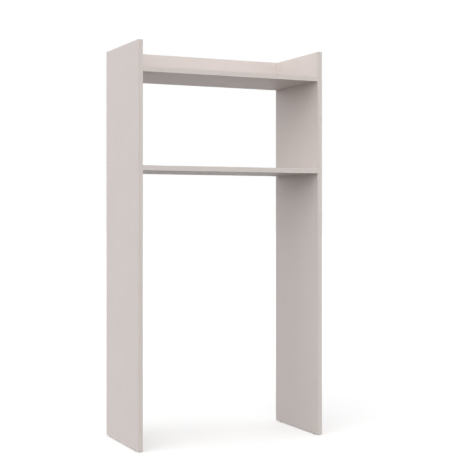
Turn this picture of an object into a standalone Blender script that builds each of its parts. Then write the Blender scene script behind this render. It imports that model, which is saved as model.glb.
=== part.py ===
"""Open storage tower for a utility room, in flat-pack board.

Two tall side panels carry two fixed shelves, and a thin rail closes the back of the upper
shelf. Cams, cam bolts and dowels join the boards, screws hold the rail, nail-on glides
carry the panels, and two steel brackets tie the tower to the wall.

Lengths are in metres. +Z is up, the front faces -Y, and the origin lies on the floor under
the middle of the tower.
"""

import math

import bmesh
import bpy
from mathutils import Matrix, Vector

# Carcass
WIDTH = 0.650
DEPTH = 0.304
BAY_HEIGHT = 0.871  # floor to the underside of the lower shelf
SHELF_SPACING = 0.290  # clear height between the shelves
GALLERY_HEIGHT = 0.082  # the side panels above the upper shelf
BOARD_THICKNESS = 0.016
RAIL_THICKNESS = 0.008
RAIL_LAP = 0.015  # the rail laps this far down the rear edge of the upper shelf
SEAT_GAP = 0.0003  # between two pieces that touch
CUT_OVERRUN = 0.002  # a cutter stands this far out of the face that it enters
MERGE_DISTANCE = 0.000003  # joins the two ends of a turned skin

# Edge bands
BAND_THICKNESS = 0.001
BAND_ROUND = 0.0004

# Places of the fittings along a shelf's end
CAM_SETBACK = 0.037  # from the front and rear edges to the cams
DOWEL_SPACING = 0.032  # from a cam to the dowel beside it

# Cam lock
CAM_DIAMETER = 0.015
CAM_HEIGHT_SHARE = 0.75  # of the board
CAM_BACKSET = 0.034  # side panel to the cam's axis
CAM_CUP_DIAMETER = 0.0105
DRIVER_SLOT_LENGTH = 0.009
DRIVER_SLOT_WIDTH = 0.0014
DRIVER_DEPTH_SHARE = 0.6  # of the cam's face plate

# Cam bolt
BOLT_COLLAR_DIAMETER = 0.0074
BOLT_COLLAR_LENGTH = 0.0012
BOLT_SHANK_DIAMETER = 0.0060
BOLT_NECK_DIAMETER = 0.0044
BOLT_NECK_LENGTH = 0.0060
BOLT_HEAD_DIAMETER = 0.0070
BOLT_HEAD_LENGTH = 0.0027
BOLT_THREAD_DIAMETER = 0.0062
BOLT_THREAD_LENGTH = 0.0110
BOLT_THREAD_PITCH = 0.0026

# Cam cap
CAP_DIAMETER = 0.0175
CAP_THICKNESS = 0.0012
CAP_SPIGOT_DIAMETER = 0.0034
CAP_SPIGOT_SHARE = 0.8  # of the driver's depth

# Dowel
DOWEL_DIAMETER = 0.008
DOWEL_LENGTH = 0.030
DOWEL_IN_PANEL = 0.011
DOWEL_CHAMFER = 0.0012
DOWEL_FLUTE_DEPTH = 0.0004

# Rail screw
RAIL_SCREW_LENGTH = 0.030
RAIL_SCREW_DIAMETER = 0.0035
RAIL_SCREW_HEAD_DIAMETER = 0.0070
RAIL_SCREW_INSET = 0.060  # from each end of the rail
RAIL_SCREW_PITCH = 0.0034

# Wall bracket and its screw
BRACKET_WIDTH = 0.020
BRACKET_LEG = 0.026
BRACKET_THICKNESS = 0.002
BRACKET_BEND = 0.003
BRACKET_CORNER = 0.004
BRACKET_INSET = 0.100  # from the side panel to the bracket's middle
BRACKET_HOLE_HEIGHT = 0.015  # from the bend to the middle of a hole, on both legs
WALL_HOLE_DIAMETER = 0.0050
BRACKET_SCREW_LENGTH = 0.012
BRACKET_SCREW_DIAMETER = 0.0035
BRACKET_SCREW_HEAD_DIAMETER = 0.0068
BRACKET_SCREW_HEAD_HEIGHT = 0.0020
BRACKET_SCREW_PITCH = 0.0024

# Floor glide
GLIDE_DIAMETER = 0.015
GLIDE_HEIGHT = 0.003
GLIDE_ROUND = 0.0008
GLIDE_SETBACK = 0.030  # from the front and rear edges
GLIDE_NAIL_DIAMETER = 0.002
GLIDE_NAIL_LENGTH = 0.014
GLIDE_NAIL_POINT = 0.004

# Shares of a thread's pitch, radius and length, and of a head's height
CREST_SHARE = 0.25
ROOT_SHARE = 0.68
TIP_SHARE = 0.25
CHAMFER_SHARE = 0.35

# Sides of the round pieces
BORE_SIDES = 16
DRUM_SIDES = 20
PAD_SIDES = 20
SCREW_SIDES = 12
FLUTES = 12

# Levels and faces that follow from the sizes above
LOWER_SHELF_LEVEL = BAY_HEIGHT
UPPER_SHELF_LEVEL = LOWER_SHELF_LEVEL + BOARD_THICKNESS + SHELF_SPACING
UPPER_SHELF_TOP = UPPER_SHELF_LEVEL + BOARD_THICKNESS
HEIGHT = UPPER_SHELF_TOP + GALLERY_HEIGHT
PANEL_FOOT = GLIDE_HEIGHT + SEAT_GAP
INNER_X = WIDTH / 2 - BOARD_THICKNESS
SHELF_END_X = INNER_X - SEAT_GAP
FRONT_Y = -DEPTH / 2
REAR_Y = DEPTH / 2
RAIL_FRONT_Y = REAR_Y - RAIL_THICKNESS
SHELF_REAR_Y = RAIL_FRONT_Y - SEAT_GAP
BANDED_EDGE = BAND_THICKNESS + SEAT_GAP  # a banded board stops this far inside its outline

CAM_HEIGHT = BOARD_THICKNESS * CAM_HEIGHT_SHARE
CAM_FACE = BOARD_THICKNESS / 2 - BOLT_HEAD_DIAMETER / 2 - 2 * SEAT_GAP
DRIVER_DEPTH = CAM_FACE * DRIVER_DEPTH_SHARE
FITTING_ENDS = ((FRONT_Y, 1), (SHELF_REAR_Y, -1))  # an edge of the shelf and the way inward
SIDES = (("left", -1), ("right", 1))

LEFT = Vector((-1, 0, 0))
RIGHT = Vector((1, 0, 0))
FRONT = Vector((0, -1, 0))
BACK = Vector((0, 1, 0))
UP = Vector((0, 0, 1))
DOWN = Vector((0, 0, -1))


def clear_scene():
    for obj in list(bpy.data.objects):
        bpy.data.objects.remove(obj, do_unlink=True)


def new_collection(name):
    collection = bpy.data.collections.new(name)
    bpy.context.scene.collection.children.link(collection)
    return collection


def linear(hex_colour):
    """The linear red, green, blue and alpha of an sRGB colour such as D4CBC7."""
    channels = [int(hex_colour[i : i + 2], 16) / 255 for i in (0, 2, 4)]
    return [c / 12.92 if c <= 0.04045 else ((c + 0.055) / 1.055) ** 2.4 for c in channels] + [1]


def new_material(name, hex_colour, roughness, metallic):
    material = bpy.data.materials.new(name)
    material.use_nodes = True
    shader = material.node_tree.nodes["Principled BSDF"]
    shader.inputs["Base Color"].default_value = linear(hex_colour)
    shader.inputs["Roughness"].default_value = roughness
    shader.inputs["Metallic"].default_value = metallic
    return material


class Workshop:
    """The collections, the finishes and the empty that every piece hangs from."""

    def __init__(self):
        self.parts = new_collection("Washing machine cabinet")
        self.cutters = new_collection("Cutters")
        self.root = bpy.data.objects.new("cabinet_origin", None)
        self.parts.objects.link(self.root)
        self.melamine = new_material("Greige melamine", "D4CBC7", 0.55, 0)
        self.banding = new_material("Greige ABS edging", "D0C7C2", 0.45, 0)
        self.zinc = new_material("Zinc die casting", "A9ABAD", 0.40, 1)
        self.steel = new_material("Zinc-plated steel", "C2C4C6", 0.30, 1)
        self.beech = new_material("Beech", "C9A375", 0.60, 0)
        self.cap_plastic = new_material("Greige polyethylene", "CEC6C1", 0.40, 0)
        self.glide_plastic = new_material("Grey polyethylene", "8D8A88", 0.50, 0)

    def add(self, name, mesh, material, location=(0, 0, 0), facing=UP):
        """One piece of the cabinet, with its own +Z turned to face the given way."""
        obj = bpy.data.objects.new(name, mesh)
        self.parts.objects.link(obj)
        obj.parent = self.root
        obj.location = location
        obj.rotation_euler = UP.rotation_difference(facing).to_euler()
        if not mesh.materials:
            mesh.materials.append(material)
        return obj

    def add_cutter(self, name, mesh):
        obj = bpy.data.objects.new(name, mesh)
        self.cutters.objects.link(obj)
        obj.parent = self.root
        obj.hide_render = True
        obj.display_type = "WIRE"
        return obj

    def baked(self, mesh, modifiers=(), cutters=()):
        """The mesh with its modifiers and cuts applied, smooth where it is round."""
        blank = self.add_cutter("blank", mesh)
        for kind, settings in modifiers:
            modifier = blank.modifiers.new(kind.title(), kind)
            for setting, value in settings.items():
                setattr(modifier, setting, value)
        tools = [self.add_cutter("tool", cutter) for cutter in cutters]
        for tool in tools:
            subtract(blank, tool)
        graph = bpy.context.evaluated_depsgraph_get()
        result = bpy.data.meshes.new_from_object(blank.evaluated_get(graph))
        for helper in [blank, *tools]:
            bpy.data.objects.remove(helper, do_unlink=True)
        return smooth(result)


def subtract(obj, cutter):
    cut = obj.modifiers.new("Cut", "BOOLEAN")
    cut.operation = "DIFFERENCE"
    cut.solver = "EXACT"
    cut.object = cutter


def smooth(mesh):
    mesh.shade_smooth()
    mesh.set_sharp_from_angle(angle=math.radians(40))
    return mesh


def finished(bm, name):
    mesh = bpy.data.meshes.new(name)
    bm.to_mesh(mesh)
    bm.free()
    return mesh


def box_between(bm, low, high):
    """A box from its low corner to its high corner. Returns its vertices."""
    low, high = Vector(low), Vector(high)
    made = bmesh.ops.create_cube(bm, size=1)["verts"]
    bmesh.ops.scale(bm, vec=high - low, verts=made)
    bmesh.ops.translate(bm, vec=(low + high) / 2, verts=made)
    return made


def cylinder_along(bm, start, way, diameter, length, end_diameter=None, sides=BORE_SIDES):
    """A cylinder or cone that runs the given way from the middle of its first face."""
    turn = UP.rotation_difference(way).to_matrix().to_4x4()
    middle = Vector(start) + way * (length / 2)
    bmesh.ops.create_cone(
        bm,
        cap_ends=True,
        segments=sides,
        radius1=diameter / 2,
        radius2=(diameter if end_diameter is None else end_diameter) / 2,
        depth=length,
        matrix=Matrix.Translation(middle) @ turn,
    )


def turned(shop, name, profile, sides):
    """A body turned from (radius, height) points that run from the top of its axis down."""
    mesh = bpy.data.meshes.new(name)
    points = [(radius, 0, height) for radius, height in profile]
    mesh.from_pydata(points, [(i, i + 1) for i in range(len(points) - 1)], [])
    settings = {
        "axis": "Z",
        "steps": sides,
        "render_steps": sides,
        "use_merge_vertices": True,
        "merge_threshold": MERGE_DISTANCE,
    }
    return shop.baked(mesh, modifiers=[("SCREW", settings)])


def ridges(top, bottom, radius, pitch):
    """Profile points of the ring ridges that stand for a screw's thread, downwards."""
    count = max(1, int((top - bottom) / pitch + CREST_SHARE))
    pitch = (top - bottom) / count
    points = []
    for turn in range(count):
        crest = top - pitch * (turn + 1 / 2)
        points.append((radius * ROOT_SHARE, top - pitch * turn))
        points.append((radius, crest + pitch * CREST_SHARE / 2))
        points.append((radius, crest - pitch * CREST_SHARE / 2))
    return points


def board(shop, name, low, high):
    low, high = Vector(low), Vector(high)
    bm = bmesh.new()
    half = (high - low) / 2
    box_between(bm, -half, half)
    return shop.add(name, finished(bm, name), shop.melamine, (low + high) / 2)


def bore(shop, obj, name, holes):
    """Cuts round holes: each is its mouth, the way in, a diameter and a depth."""
    bm = bmesh.new()
    for mouth, way, diameter, depth in holes:
        start = Vector(mouth) - way * CUT_OVERRUN
        cylinder_along(bm, start, way, diameter, depth + CUT_OVERRUN)
    subtract(obj, shop.add_cutter(f"{obj.name}_{name}", finished(bm, name)))


def edge_band(shop, name, low, high, outward):
    """A strip of edging, with the long edges of its outward face rounded."""
    low, high = Vector(low), Vector(high)
    bm = bmesh.new()
    half = (high - low) / 2
    box_between(bm, -half, half)
    face = max(bm.faces, key=lambda f: f.normal.dot(outward))
    long_edges = [e for e in face.edges if e.calc_length() > max(high - low) / 2]
    bmesh.ops.bevel(
        bm, geom=long_edges, offset=BAND_ROUND, segments=2, profile=0.5, affect="EDGES"
    )
    shop.add(name, finished(bm, name), shop.banding, (low + high) / 2)


def fitting_places(setback):
    """The y of the two like fittings along a shelf's end, front one first."""
    return [edge + inward * setback for edge, inward in FITTING_ENDS]


def cam_places():
    return fitting_places(CAM_SETBACK)


def dowel_places():
    return fitting_places(CAM_SETBACK + DOWEL_SPACING)


def side_panel(shop, side, sign):
    name = f"side_panel_{side}"
    xs = sorted((sign * INNER_X, sign * WIDTH / 2))
    front, rear = FRONT_Y + BANDED_EDGE, REAR_Y - BANDED_EDGE
    top = HEIGHT - BANDED_EDGE
    panel = board(shop, name, (xs[0], front, PANEL_FOOT), (xs[1], rear, top))
    outward = RIGHT * sign
    holes = []
    for level in (LOWER_SHELF_LEVEL, UPPER_SHELF_LEVEL):
        z = level + BOARD_THICKNESS / 2
        for y in cam_places():
            diameter = BOLT_THREAD_DIAMETER + 2 * SEAT_GAP
            depth = BOLT_THREAD_LENGTH + SEAT_GAP
            holes.append(((sign * INNER_X, y, z), outward, diameter, depth))
        for y in dowel_places():
            diameter = DOWEL_DIAMETER + 2 * SEAT_GAP
            depth = DOWEL_IN_PANEL + SEAT_GAP
            holes.append(((sign * INNER_X, y, z), outward, diameter, depth))
    for x, y in glide_places(sign):
        diameter = GLIDE_NAIL_DIAMETER + 2 * SEAT_GAP
        holes.append(((x, y, PANEL_FOOT), UP, diameter, GLIDE_NAIL_LENGTH + SEAT_GAP))
    bore(shop, panel, "bores", holes)
    edge_band(shop, f"{name}_front_band", (xs[0], FRONT_Y, PANEL_FOOT),
              (xs[1], FRONT_Y + BAND_THICKNESS, top), FRONT)
    edge_band(shop, f"{name}_rear_band", (xs[0], REAR_Y - BAND_THICKNESS, PANEL_FOOT),
              (xs[1], REAR_Y, top), BACK)
    edge_band(shop, f"{name}_top_band", (xs[0], FRONT_Y, HEIGHT - BAND_THICKNESS),
              (xs[1], REAR_Y, HEIGHT), UP)


def shelf(shop, name, level, rear):
    """A shelf board with its front band, cut for the fittings at both of its ends."""
    top = level + BOARD_THICKNESS
    middle = level + BOARD_THICKNESS / 2
    made = board(shop, name, (-SHELF_END_X, FRONT_Y + BANDED_EDGE, level), (SHELF_END_X, rear, top))
    end_bores = []
    housings = []
    for _, sign in SIDES:
        inward = LEFT * sign
        for y in cam_places():
            mouth = (sign * SHELF_END_X, y, middle)
            diameter = BOLT_COLLAR_DIAMETER + 2 * SEAT_GAP
            end_bores.append((mouth, inward, diameter, CAM_BACKSET))
            foot = (sign * (INNER_X - CAM_BACKSET), y, level)
            depth = CAM_HEIGHT + 2 * SEAT_GAP
            housings.append((foot, UP, CAM_DIAMETER + 2 * SEAT_GAP, depth))
        for y in dowel_places():
            mouth = (sign * SHELF_END_X, y, middle)
            depth = DOWEL_LENGTH - DOWEL_IN_PANEL
            end_bores.append((mouth, inward, DOWEL_DIAMETER + 2 * SEAT_GAP, depth))
    bore(shop, made, "end_bores", end_bores)
    bore(shop, made, "cam_housings", housings)
    edge_band(shop, f"{name}_front_band", (-SHELF_END_X, FRONT_Y, level),
              (SHELF_END_X, FRONT_Y + BAND_THICKNESS, top), FRONT)
    return made


def upper_shelf(shop):
    """The upper shelf takes the rail's screws in its rear edge and the brackets' on top."""
    made = shelf(shop, "upper_shelf", UPPER_SHELF_LEVEL, SHELF_REAR_Y)
    pilots = []
    for x in rail_screw_places():
        mouth = (x, SHELF_REAR_Y, UPPER_SHELF_LEVEL + BOARD_THICKNESS / 2)
        depth = RAIL_SCREW_LENGTH - RAIL_THICKNESS
        pilots.append((mouth, FRONT, RAIL_SCREW_DIAMETER + 2 * SEAT_GAP, depth))
    for x, _ in bracket_places():
        mouth = (x, bracket_screw_y(), UPPER_SHELF_TOP)
        depth = BRACKET_SCREW_LENGTH - BRACKET_THICKNESS
        pilots.append((mouth, DOWN, BRACKET_SCREW_DIAMETER + 2 * SEAT_GAP, depth))
    bore(shop, made, "pilots", pilots)


def lower_shelf(shop):
    top = LOWER_SHELF_LEVEL + BOARD_THICKNESS
    shelf(shop, "lower_shelf", LOWER_SHELF_LEVEL, SHELF_REAR_Y - BANDED_EDGE)
    edge_band(shop, "lower_shelf_rear_band",
              (-SHELF_END_X, SHELF_REAR_Y - BAND_THICKNESS, LOWER_SHELF_LEVEL),
              (SHELF_END_X, SHELF_REAR_Y, top), BACK)


def rail_screw_places():
    reach = SHELF_END_X - RAIL_SCREW_INSET
    return [-reach, 0, reach]


def bracket_places():
    """The middle of each wall bracket, and its side."""
    return [(sign * (INNER_X - BRACKET_INSET), side) for side, sign in SIDES]


def bracket_screw_y():
    return RAIL_FRONT_Y - SEAT_GAP - BRACKET_HOLE_HEIGHT


def bracket_hole_z():
    return UPPER_SHELF_TOP + SEAT_GAP + BRACKET_HOLE_HEIGHT


def back_rail(shop):
    foot = UPPER_SHELF_TOP - RAIL_LAP
    low = (-SHELF_END_X, RAIL_FRONT_Y, foot)
    rail = board(shop, "back_rail", low, (SHELF_END_X, REAR_Y, HEIGHT - BANDED_EDGE))
    holes = []
    for x in rail_screw_places():
        mouth = (x, REAR_Y, UPPER_SHELF_LEVEL + BOARD_THICKNESS / 2)
        diameter = RAIL_SCREW_DIAMETER + 2 * SEAT_GAP
        holes.append((mouth, FRONT, diameter, RAIL_THICKNESS + CUT_OVERRUN))
    for x, _ in bracket_places():
        mouth = (x, REAR_Y, bracket_hole_z())
        holes.append((mouth, FRONT, WALL_HOLE_DIAMETER, RAIL_THICKNESS + CUT_OVERRUN))
    bore(shop, rail, "bores", holes)

    # The cone of each countersink is the screw head's, one gap larger all round
    bm = bmesh.new()
    slope_gap = SEAT_GAP * math.sqrt(2)
    mouth_diameter = RAIL_SCREW_HEAD_DIAMETER + 2 * (CUT_OVERRUN + SEAT_GAP + slope_gap)
    for x in rail_screw_places():
        start = Vector((x, REAR_Y + CUT_OVERRUN, UPPER_SHELF_LEVEL + BOARD_THICKNESS / 2))
        cylinder_along(bm, start, FRONT, mouth_diameter, mouth_diameter / 2, end_diameter=0)
    subtract(rail, shop.add_cutter("back_rail_countersinks", finished(bm, "countersinks")))

    edge_band(shop, "back_rail_top_band",
              (-SHELF_END_X, RAIL_FRONT_Y, HEIGHT - BAND_THICKNESS),
              (SHELF_END_X, REAR_Y, HEIGHT), UP)


def cam_mesh(shop):
    """A drum with a driver cross in its lower face and a slotted cup above, open to +X."""
    bm = bmesh.new()
    cylinder_along(bm, (0, 0, 0), UP, CAM_DIAMETER, CAM_HEIGHT, sides=DRUM_SIDES)
    drum = finished(bm, "cam_lock")

    cup = bmesh.new()
    cylinder_along(cup, (0, 0, CAM_FACE), UP, CAM_CUP_DIAMETER, CAM_HEIGHT, sides=BORE_SIDES)
    slot = bmesh.new()
    half = BOLT_NECK_DIAMETER / 2 + SEAT_GAP
    slot_floor = BOARD_THICKNESS / 2 - half - SEAT_GAP
    box_between(slot, (0, -half, slot_floor), (CAM_DIAMETER, half, CAM_HEIGHT + CUT_OVERRUN))

    driver = bmesh.new()
    cylinder_along(driver, (0, 0, -CUT_OVERRUN), UP, CAP_SPIGOT_DIAMETER + 2 * SEAT_GAP,
                   DRIVER_DEPTH + CUT_OVERRUN)
    long, wide = DRIVER_SLOT_LENGTH / 2, DRIVER_SLOT_WIDTH / 2
    across = bmesh.new()
    box_between(across, (-long, -wide, -CUT_OVERRUN), (long, wide, DRIVER_DEPTH))
    along = bmesh.new()
    box_between(along, (-wide, -long, -CUT_OVERRUN), (wide, long, DRIVER_DEPTH))
    tools = (cup, slot, driver, across, along)
    return shop.baked(drum, cutters=[finished(tool, "tool") for tool in tools])


def cam_bolt_mesh(shop):
    """The bolt along +Z: its thread below zero, in the panel, and its head in the cam."""
    head_radius = BOLT_HEAD_DIAMETER / 2
    cup_radius = CAM_CUP_DIAMETER / 2
    # The head bears on the cup's curved wall, which it meets at the head's own radius
    head_foot = CAM_BACKSET - math.sqrt(cup_radius**2 - head_radius**2) + SEAT_GAP
    head_top = head_foot + BOLT_HEAD_LENGTH
    neck_foot = head_foot - BOLT_NECK_LENGTH
    collar_top = SEAT_GAP + BOLT_COLLAR_LENGTH
    thread_radius = BOLT_THREAD_DIAMETER / 2
    profile = [
        (0, head_top),
        (head_radius, head_top - BOLT_HEAD_LENGTH * CHAMFER_SHARE),
        (head_radius, head_foot),
        (BOLT_NECK_DIAMETER / 2, head_foot),
        (BOLT_NECK_DIAMETER / 2, neck_foot),
        (BOLT_SHANK_DIAMETER / 2, neck_foot),
        (BOLT_SHANK_DIAMETER / 2, collar_top),
        (BOLT_COLLAR_DIAMETER / 2, collar_top),
        (BOLT_COLLAR_DIAMETER / 2, SEAT_GAP),
    ]
    tip = -BOLT_THREAD_LENGTH
    thread_end = tip * (1 - TIP_SHARE)
    profile += ridges(SEAT_GAP, thread_end, thread_radius, BOLT_THREAD_PITCH)
    profile += [(thread_radius * ROOT_SHARE, thread_end), (0, tip)]
    return turned(shop, "cam_bolt", profile, SCREW_SIDES)


def cam_cap_mesh(shop):
    """A shallow domed cap hanging below zero, with a spigot up into the cam's driver."""
    radius = CAP_DIAMETER / 2
    spigot = CAP_SPIGOT_DIAMETER / 2
    spigot_top = SEAT_GAP + DRIVER_DEPTH * CAP_SPIGOT_SHARE
    profile = [
        (0, spigot_top),
        (spigot, spigot_top),
        (spigot, -SEAT_GAP),
        (radius, -SEAT_GAP),
        (radius, -SEAT_GAP - CAP_THICKNESS * CHAMFER_SHARE),
        (radius - CAP_THICKNESS, -SEAT_GAP - CAP_THICKNESS),
        (0, -SEAT_GAP - CAP_THICKNESS),
    ]
    return turned(shop, "cam_cap", profile, PAD_SIDES)


def dowel_mesh():
    """A beech dowel along +Z, in the panel below zero, fluted round and chamfered."""
    crest = DOWEL_DIAMETER / 2
    foot = -DOWEL_IN_PANEL
    head = foot + DOWEL_LENGTH - 2 * SEAT_GAP
    rings = (
        (foot, crest - DOWEL_CHAMFER),
        (foot + DOWEL_CHAMFER, crest),
        (head - DOWEL_CHAMFER, crest),
        (head, crest - DOWEL_CHAMFER),
    )
    bm = bmesh.new()
    loops = []
    for height, radius in rings:
        loop = []
        for i in range(2 * FLUTES):
            angle = math.pi * i / FLUTES
            r = radius - DOWEL_FLUTE_DEPTH * (i % 2)
            loop.append(bm.verts.new((r * math.cos(angle), r * math.sin(angle), height)))
        loops.append([bm.edges.new((a, b)) for a, b in zip(loop, loop[1:] + loop[:1])])
    for below, above in zip(loops, loops[1:]):
        bmesh.ops.bridge_loops(bm, edges=below + above)
    for end in (loops[0], loops[-1]):
        bmesh.ops.contextual_create(bm, geom=end)
    bmesh.ops.recalc_face_normals(bm, faces=bm.faces)
    return smooth(finished(bm, "dowel"))


def rail_screw_mesh(shop):
    """A countersunk chipboard screw along +Z, with the top of its head at zero."""
    head = RAIL_SCREW_HEAD_DIAMETER / 2
    thread = RAIL_SCREW_DIAMETER / 2
    root = thread * ROOT_SHARE
    tip = -RAIL_SCREW_LENGTH + RAIL_THICKNESS * TIP_SHARE
    thread_end = tip + RAIL_SCREW_PITCH
    profile = [(0, 0), (head, 0), (root, root - head)]
    profile += ridges(-RAIL_THICKNESS, thread_end, thread, RAIL_SCREW_PITCH)
    profile += [(root, thread_end), (0, tip)]
    return turned(shop, "rail_screw", profile, SCREW_SIDES)


def bracket_screw_mesh(shop):
    """A pan-head screw along +Z: its head stands on zero and its thread runs below."""
    head = BRACKET_SCREW_HEAD_DIAMETER / 2
    height = BRACKET_SCREW_HEAD_HEIGHT
    thread = BRACKET_SCREW_DIAMETER / 2
    root = thread * ROOT_SHARE
    tip = -BRACKET_SCREW_LENGTH
    thread_end = tip + BRACKET_SCREW_PITCH
    profile = [(0, height), (head * ROOT_SHARE, height), (head, height / 2), (head, 0), (root, 0)]
    profile += ridges(-BRACKET_THICKNESS, thread_end, thread, BRACKET_SCREW_PITCH)
    profile += [(root, thread_end), (0, tip)]
    return turned(shop, "bracket_screw", profile, SCREW_SIDES)


def bracket_mesh(shop):
    """A bent strip, one leg along -Y on the shelf and one leg up against the rail."""
    half = BRACKET_WIDTH / 2
    bm = bmesh.new()
    sides = []
    for x in (-half, half):
        corners = ((x, -BRACKET_LEG, 0), (x, 0, 0), (x, 0, BRACKET_LEG))
        sides.append([bm.verts.new(corner) for corner in corners])
    left, right = sides
    for i in range(2):
        bm.faces.new((left[i], right[i], right[i + 1], left[i + 1]))
    ends = [left[0], right[0], left[2], right[2]]
    bmesh.ops.bevel(bm, geom=ends, offset=BRACKET_CORNER, segments=3, profile=0.5, affect="VERTICES")
    bend = [e for e in bm.edges if all(v.co.y == 0 and v.co.z == 0 for v in e.verts)]
    bmesh.ops.bevel(bm, geom=bend, offset=BRACKET_BEND, segments=3, profile=0.5, affect="EDGES")
    bmesh.ops.recalc_face_normals(bm, faces=bm.faces)
    strip = finished(bm, "wall_bracket")

    # The strip's normals face the bend's inner side or its outer one, so thicken by them
    inward = 1 if strip.polygons[0].normal.z > 0 else -1
    thicken = {"thickness": BRACKET_THICKNESS, "offset": inward, "use_even_offset": True}
    shelf_hole = bmesh.new()
    start = (0, -BRACKET_HOLE_HEIGHT, -CUT_OVERRUN)
    depth = BRACKET_THICKNESS + 2 * CUT_OVERRUN
    cylinder_along(shelf_hole, start, UP, BRACKET_SCREW_DIAMETER + 2 * SEAT_GAP, depth)
    wall_hole = bmesh.new()
    start = (0, CUT_OVERRUN, BRACKET_HOLE_HEIGHT)
    cylinder_along(wall_hole, start, FRONT, WALL_HOLE_DIAMETER, depth)
    tools = [finished(shelf_hole, "tool"), finished(wall_hole, "tool")]
    return shop.baked(strip, modifiers=[("SOLIDIFY", thicken)], cutters=tools)


def glide_mesh(shop):
    """A round pad that stands on zero, with a pointed nail up into the panel."""
    radius = GLIDE_DIAMETER / 2
    nail = GLIDE_NAIL_DIAMETER / 2
    nail_top = PANEL_FOOT + GLIDE_NAIL_LENGTH - SEAT_GAP
    profile = [
        (0, nail_top),
        (nail, nail_top - GLIDE_NAIL_POINT),
        (nail, GLIDE_HEIGHT),
        (radius, GLIDE_HEIGHT),
        (radius, GLIDE_ROUND),
        (radius - GLIDE_ROUND, 0),
        (0, 0),
    ]
    return turned(shop, "floor_glide", profile, PAD_SIDES)


def glide_places(sign):
    x = sign * (WIDTH - BOARD_THICKNESS) / 2
    return [(x, FRONT_Y + GLIDE_SETBACK), (x, REAR_Y - GLIDE_SETBACK)]


def shelf_fittings(shop):
    """The cams, bolts, caps and dowels at both ends of both shelves."""
    cam, bolt = cam_mesh(shop), cam_bolt_mesh(shop)
    cap, dowel = cam_cap_mesh(shop), dowel_mesh()
    number = 0
    for level in (LOWER_SHELF_LEVEL, UPPER_SHELF_LEVEL):
        axis_z = level + BOARD_THICKNESS / 2
        for _, sign in SIDES:
            inward = LEFT * sign
            for cam_y, dowel_y in zip(cam_places(), dowel_places()):
                number += 1
                cam_x = sign * (INNER_X - CAM_BACKSET)
                lock = shop.add(f"cam_lock_{number}", cam, shop.zinc, (cam_x, cam_y, level + SEAT_GAP))
                lock.rotation_euler.z = 0 if sign > 0 else math.pi
                shop.add(f"cam_bolt_{number}", bolt, shop.steel, (sign * INNER_X, cam_y, axis_z), inward)
                shop.add(f"cam_cap_{number}", cap, shop.cap_plastic, (cam_x, cam_y, level))
                shop.add(f"dowel_{number}", dowel, shop.beech, (sign * INNER_X, dowel_y, axis_z), inward)


def rail_fittings(shop):
    screw = rail_screw_mesh(shop)
    for number, x in enumerate(rail_screw_places(), start=1):
        place = (x, REAR_Y - SEAT_GAP, UPPER_SHELF_LEVEL + BOARD_THICKNESS / 2)
        shop.add(f"rail_screw_{number}", screw, shop.steel, place, BACK)


def wall_brackets(shop):
    bracket, screw = bracket_mesh(shop), bracket_screw_mesh(shop)
    seat = UPPER_SHELF_TOP + SEAT_GAP
    for x, side in bracket_places():
        shop.add(f"wall_bracket_{side}", bracket, shop.steel, (x, RAIL_FRONT_Y - SEAT_GAP, seat))
        head_seat = seat + BRACKET_THICKNESS + SEAT_GAP
        shop.add(f"bracket_screw_{side}", screw, shop.steel, (x, bracket_screw_y(), head_seat))


def floor_glides(shop):
    glide = glide_mesh(shop)
    places = [place for _, sign in SIDES for place in glide_places(sign)]
    for number, (x, y) in enumerate(places, start=1):
        shop.add(f"floor_glide_{number}", glide, shop.glide_plastic, (x, y, 0))


def main():
    clear_scene()
    shop = Workshop()
    for side, sign in SIDES:
        side_panel(shop, side, sign)
    upper_shelf(shop)
    lower_shelf(shop)
    back_rail(shop)
    shelf_fittings(shop)
    rail_fittings(shop)
    wall_brackets(shop)
    floor_glides(shop)


main()
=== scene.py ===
"""Finishes an open storage tower of flat-pack board and stands it in a white studio.

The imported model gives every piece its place. Each operator replaces one group of its plain
solids by finer surfaces, worked out with numpy, in a finish made of shader nodes.
Lengths are in metres. The tower's own axes are +Z up and +X right, with its front facing -Y.
"""

import math

import bpy
import numpy as np
from bpy.props import FloatProperty, FloatVectorProperty, IntProperty, PointerProperty
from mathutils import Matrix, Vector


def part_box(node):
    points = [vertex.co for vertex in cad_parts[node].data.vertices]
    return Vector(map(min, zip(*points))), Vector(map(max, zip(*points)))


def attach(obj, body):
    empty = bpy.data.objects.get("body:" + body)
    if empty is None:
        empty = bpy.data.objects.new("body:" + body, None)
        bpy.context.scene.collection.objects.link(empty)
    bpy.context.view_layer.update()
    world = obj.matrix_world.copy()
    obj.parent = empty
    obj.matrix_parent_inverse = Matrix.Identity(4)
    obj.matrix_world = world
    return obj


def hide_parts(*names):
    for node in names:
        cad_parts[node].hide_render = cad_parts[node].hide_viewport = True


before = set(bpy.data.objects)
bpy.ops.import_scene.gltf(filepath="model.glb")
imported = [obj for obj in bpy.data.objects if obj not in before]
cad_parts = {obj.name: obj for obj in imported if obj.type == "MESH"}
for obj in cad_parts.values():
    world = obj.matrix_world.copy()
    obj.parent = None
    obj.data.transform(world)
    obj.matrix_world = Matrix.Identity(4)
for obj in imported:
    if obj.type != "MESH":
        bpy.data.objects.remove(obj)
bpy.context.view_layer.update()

bl_info = {
    "name": "Storage tower finish",
    "version": (1, 0, 0),
    "blender": (4, 5, 0),
    "location": "View3D > Sidebar > Tower",
    "description": "Fine surfaces, finishes and a studio for a flat-pack storage tower",
    "category": "Object",
}

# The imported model's gap between neighbours, and the hairline that these surfaces leave of it
SEAT_GAP = 0.0003
HAIRLINE = 0.00005
CLOSING = SEAT_GAP - HAIRLINE

# Bores
BORE_CLEARANCE = 0.00005
BORE_FLARE = 0.0002
CUT_OVERRUN = 0.002
WALL_HOLE_DIAMETER = 0.0050
BRACKET_HOLE_HEIGHT = 0.015  # from the bend to the middle of a hole, on both legs

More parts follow.
